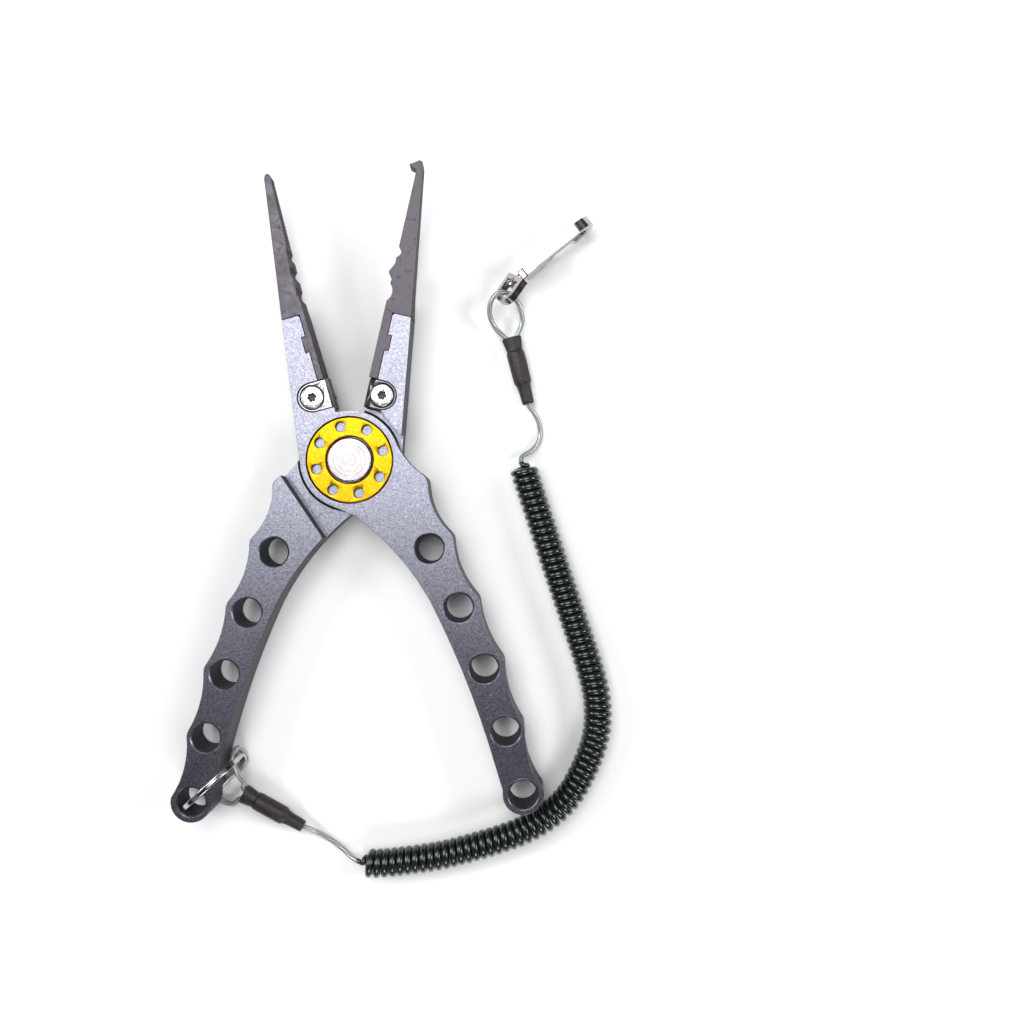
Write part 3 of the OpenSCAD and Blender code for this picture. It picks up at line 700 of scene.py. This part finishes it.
def plated(name, colour, rough):
    material, shader, wire = newMaterial(name, {"Metallic": 1.0, "Roughness": rough})
    place = objectPlace(wire)
    haze = stretch(wire, noise(wire, place, 350, 3), 0.35, 0.65)
    ripple = noise(wire, place, 260, 1)
    dull = tuple(0.78 * c for c in colour[:3]) + (1,)
    return connect(material, shader, {
        "Base Color": mix(wire, haze, dull, colour),
        "Roughness": rough - 0.02 + haze * 0.08,
        "Normal": bump(wire, ripple, 0.2, 0.00012),
    })


def shrunkTube(name):
    material, shader, wire = newMaterial(name, {"Roughness": 0.5, "Specular IOR Level": 0.45})
    place = objectPlace(wire)
    grain = noise(wire, place, 1400, 3, 0.6)
    fold = noise(wire, place, 330, 2)
    tone = stretch(wire, grain, 0.35, 0.65)
    return connect(material, shader, {
        "Base Color": mix(wire, tone, (0.007, 0.005, 0.006, 1), (0.030, 0.022, 0.025, 1)),
        "Roughness": 0.40 + fold * 0.2,
        "Normal": bump(wire, grain * 0.4 + fold * 0.6, 0.4, 0.0001),
    })


def ropeUnderCoat(name, dark, light, rough, coat, strands, lay, relief=0.15):
    # twisted strands seen through a glossy coat, drawn along the cable's own map
    material, shader, wire = newMaterial(name, {
        "Metallic": 0.35, "Coat Weight": coat, "Coat Roughness": 0.06, "Coat IOR": 1.38,
        "Roughness": rough})
    parts = wire.add("ShaderNodeSeparateXYZ", {}, {
        0: wire.add("ShaderNodeUVMap", {"uv_map": "along"}, {})})
    along = Wire(wire.tree, parts.socket.node.outputs[0])
    around = Wire(wire.tree, parts.socket.node.outputs[1])
    strand = wire.maths("SINE", (around * strands + along * (1000 / lay)) * (2 * math.pi))
    smear = noise(wire, objectPlace(wire), 240, 3)
    tone = (strand * 0.5 + 0.5) * 0.7 + smear * 0.3
    return connect(material, shader, {
        "Base Color": mix(wire, tone, dark, light),
        "Roughness": rough - 0.03 + smear * 0.08,
        "Normal": bump(wire, tone, relief, 0.00008),
    })


def pressedMetal(name, colour, rough, metallic=1.0):
    material, shader, wire = newMaterial(name, {"Metallic": metallic, "Roughness": rough})
    place = objectPlace(wire)
    grain = noise(wire, place, 1200, 3)
    dull = tuple(0.6 * c for c in colour[:3]) + (1,)
    return connect(material, shader, {
        "Base Color": mix(wire, stretch(wire, grain, 0.35, 0.65), dull, colour),
        "Roughness": rough - 0.05 + grain * 0.15,
        "Normal": bump(wire, grain, 0.25, 0.00005),
    })


leverFace = blastedAlloy("lever_alloy", (0.110, 0.112, 0.142, 1), (0.275, 0.280, 0.335, 1))
# lap face: the same alloy, with a painted shadow ring beside the front lever's boss
lapFace = blastedAlloy("lap_alloy", (0.110, 0.112, 0.142, 1), (0.275, 0.280, 0.335, 1),
                       corner=(-0.9, 0.3, 15.15, 12))
# lever edge pale, far brighter than the face: painted highlight
leverEdge = paintedEdgeLight("lever_edge_painted_highlight", (0.74, 0.76, 0.84, 1))
# lever walls near black: painted shade
leverWall = paintedShadeSide("lever_wall_painted_shade", (0.014, 0.015, 0.019, 1), (0.036, 0.040, 0.048, 1), 0.35)
frontJawSteel = hardenedSteel(
    "front_jaw_steel", (0.034, 0.031, 0.036, 1), (0.150, 0.138, 0.158, 1), 300, 0.42, 0.5)
rearJawSteel = hardenedSteel(
    "rear_jaw_steel", (0.042, 0.038, 0.045, 1), (0.105, 0.096, 0.110, 1), 240, 0.4, 0.12)
# jaw edge a little brighter than the jaw: painted highlight
jawEdge = paintedEdgeLight("jaw_edge", (0.16, 0.14, 0.15, 1), 0.34)
# jaw walls near black: painted shade
jawWall = paintedShadeSide("jaw_wall_painted_shade", (0.006, 0.005, 0.006, 1), (0.020, 0.017, 0.019, 1), 0.2)
frontCutterSteel = groundSteel("front_cutter_steel", (0.56, 0.55, 0.58, 1), 0.32, 15.5)
# the rear cutter is coloured about half as bright as the front one: painted shade standing for the
# dark surroundings mirrored in its bevel
rearCutterSteel = groundSteel("rear_cutter_steel_painted_shade", (0.27, 0.255, 0.27, 1), 0.36, -12.9)
# cutter edge near white: painted highlight
cutterEdge = paintedEdgeLight("cutter_edge_painted_highlight", (0.85, 0.85, 0.88, 1), 0.2)
# cutter walls far darker than the faces: painted shade
cutterWall = groundSteel("cutter_wall_painted_shade", (0.10, 0.092, 0.098, 1), 0.40, 0)
screwSteel = pressedMetal("screw_steel", (0.62, 0.61, 0.63, 1), 0.3)
# screw edge darker than the head: painted dark outline; recess nearly black: painted shade
screwEdge = paintedEdgeLight("screw_edge_painted_shade", (0.25, 0.24, 0.25, 1), 0.25)
screwRecess = pressedMetal("screw_recess_painted_shade", (0.06, 0.055, 0.058, 1), 0.4)
goldFace = blastedAlloy("gold_anodised", (0.36, 0.215, 0.003, 1), (0.56, 0.36, 0.010, 1), 0.5, 0.34)
# ring edge and walls in a darker orange-brown than the face: painted shade on the rim
goldEdge = paintedEdgeLight("gold_edge_painted_shade", (0.36, 0.12, 0.006, 1), 0.3)
goldWall = blastedAlloy("gold_wall_painted_shade", (0.16, 0.045, 0.003, 1), (0.30, 0.10, 0.006, 1), 0.5, 0.34)
capSteel = turnedSteel("pivot_steel", (0, 0), (0.44, 0.41, 0.43, 1), 0.26, 0.32)
capEdge = paintedEdgeLight("cap_edge", (0.40, 0.36, 0.36, 1), 0.2)
# cap walls darker than the face: painted shade
capWall = pressedMetal("cap_wall_painted_shade", (0.30, 0.29, 0.30, 1), 0.3)
nickel = plated("bright_nickel", (0.55, 0.52, 0.51, 1), 0.14)
# nickel edges far darker than the plating: painted dark outline
nickelEdge = plated("nickel_edge_painted_shade", (0.17, 0.145, 0.135, 1), 0.2)
springSteel = groundSteel("spring_steel", (0.6, 0.6, 0.62, 1), 0.28, 38.6, 0.5)
bronze = pressedMetal("bearing_bronze", (0.72, 0.50, 0.24, 1), 0.38)
ferruleAlloy = pressedMetal("ferrule_alloy", (0.70, 0.70, 0.72, 1), 0.36)
tube = shrunkTube("heat_shrink")
clearRope = ropeUnderCoat("cable", (0.11, 0.12, 0.12, 1), (0.52, 0.55, 0.54, 1), 0.28, 0.8, 6, 5)
smokeRope = ropeUnderCoat(
    "coil_jacket", (0.002, 0.005, 0.004, 1), (0.013, 0.022, 0.019, 1), 0.30, 1.0, 6, 5, 0.05)

finishes = {
    # node: face, broken edge, wall or recess, and the name the slot goes by
    "rear_lever": (lapFace, leverEdge, leverWall, "lever_alloy"),
    "front_lever": (leverFace, leverEdge, leverWall, "lever_alloy"),
    "rear_jaw": (rearJawSteel, jawEdge, jawWall, "jaw_steel"),
    "front_jaw": (frontJawSteel, jawEdge, jawWall, "jaw_steel"),
    "rear_cutter": (rearCutterSteel, cutterEdge, cutterWall, "cutter_steel"),
    "front_cutter": (frontCutterSteel, cutterEdge, cutterWall, "cutter_steel"),
    "rear_cutter_screw": (screwSteel, screwEdge, screwRecess, "screw_steel"),
    "front_cutter_screw": (screwSteel, screwEdge, screwRecess, "screw_steel"),
    "rear_dial_ring": (goldFace, goldEdge, goldWall, "gold_anodised"),
    "front_dial_ring": (goldFace, goldEdge, goldWall, "gold_anodised"),
    "pivot_bolt": (capSteel, capEdge, capWall, "pivot_steel"),
    "pivot_nut": (capSteel, capEdge, capWall, "pivot_steel"),
    "hook_body": (nickel, nickelEdge, nickel, "bright_nickel"),
    "hook_trigger": (springSteel, springSteel, springSteel, "spring_steel"),
    "swivel_bow": (nickel, nickelEdge, nickel, "bright_nickel"),
    "swivel_post": (nickel, nickelEdge, nickelEdge, "bright_nickel"),
}
bodies = frame["record"]["behaviour"]["bodies"]
bodyOf = {node: body for body, held in bodies.items() for node in held}

for nodeName, piece in taken.items():
    *layers, slotName = finishes[nodeName]
    for layer in layers:
        piece.data.materials.append(layer)
    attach(piece, bodyOf[nodeName])

plainFinishes = {
    "return_spring": springSteel, "thrust_washer": bronze, "pivot_bushing": bronze,
    "trigger_pin": springSteel, "trigger_spring": springSteel,
    "rear_ferrule": ferruleAlloy, "front_ferrule": ferruleAlloy,
}
for nodeName, finish in plainFinishes.items():
    nodes[nodeName].data.materials.clear()
    nodes[nodeName].data.materials.append(finish)

ringPiece.data.materials.append(nickel)
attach(ringPiece, "lanyard")
for piece in (rearSleeve, frontSleeve):
    piece.data.materials.append(tube)
    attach(piece, "lanyard")
print("finishes given")


# ---- the cable's own mesh, with a map along it for the strands ----

def finishCable():
    pickOnly(cablePiece)
    bpy.ops.object.convert(target="MESH")
    piece = bpy.context.object
    mesh = piece.data
    around = round(len(mesh.vertices) / len(cableLine))
    reach = [0]
    for a, b in zip(cableLine, cableLine[1:]):
        reach.append(reach[-1] + (b - a).length)
    mesh.materials.clear()
    mesh.materials.append(clearRope)
    mesh.materials.append(smokeRope)
    for layer in list(mesh.uv_layers):
        mesh.uv_layers.remove(layer)
    along = mesh.uv_layers.new(name="along")
    for face in mesh.polygons:
        rings = [v // around for v in face.vertices]
        face.material_index = int(coilStart - 2 <= min(rings) and max(rings) <= coilEnd + 2)
        spots = [v % around for v in face.vertices]
        wraps = max(spots) - min(spots) > around / 2
        for loop, vertex in zip(face.loop_indices, face.vertices):
            turn = vertex % around
            if wraps and turn < around / 2:
                turn += around
            along.data[loop].uv = (reach[min(vertex // around, len(reach) - 1)], turn / around)
    return piece


cablePiece = finishCable()
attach(cablePiece, "lanyard")
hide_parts("rear_cable_eye", "rear_lead", "lanyard_coil", "front_lead",
            "front_cable_eye")
print("cable finished:", len(cablePiece.data.polygons), "faces")


# ---- floor ----

def makeFloor():
    pickNothing()
    bpy.ops.mesh.primitive_plane_add(size=floor["size"], location=floor["at"])
    piece = bpy.context.object
    piece.name = "floor"
    material, shader, wire = newMaterial("floor_paper", {"Roughness": 0.8})
    tone = noise(wire, objectPlace(wire), 3, 2)
    pale = floor["colour"]
    connect(material, shader, {
        "Base Color": mix(wire, tone, pale, tuple(min(1, 1.02 * c) for c in pale[:3]) + (1,))})
    piece.data.materials.append(material)


makeFloor()
print("floor laid")
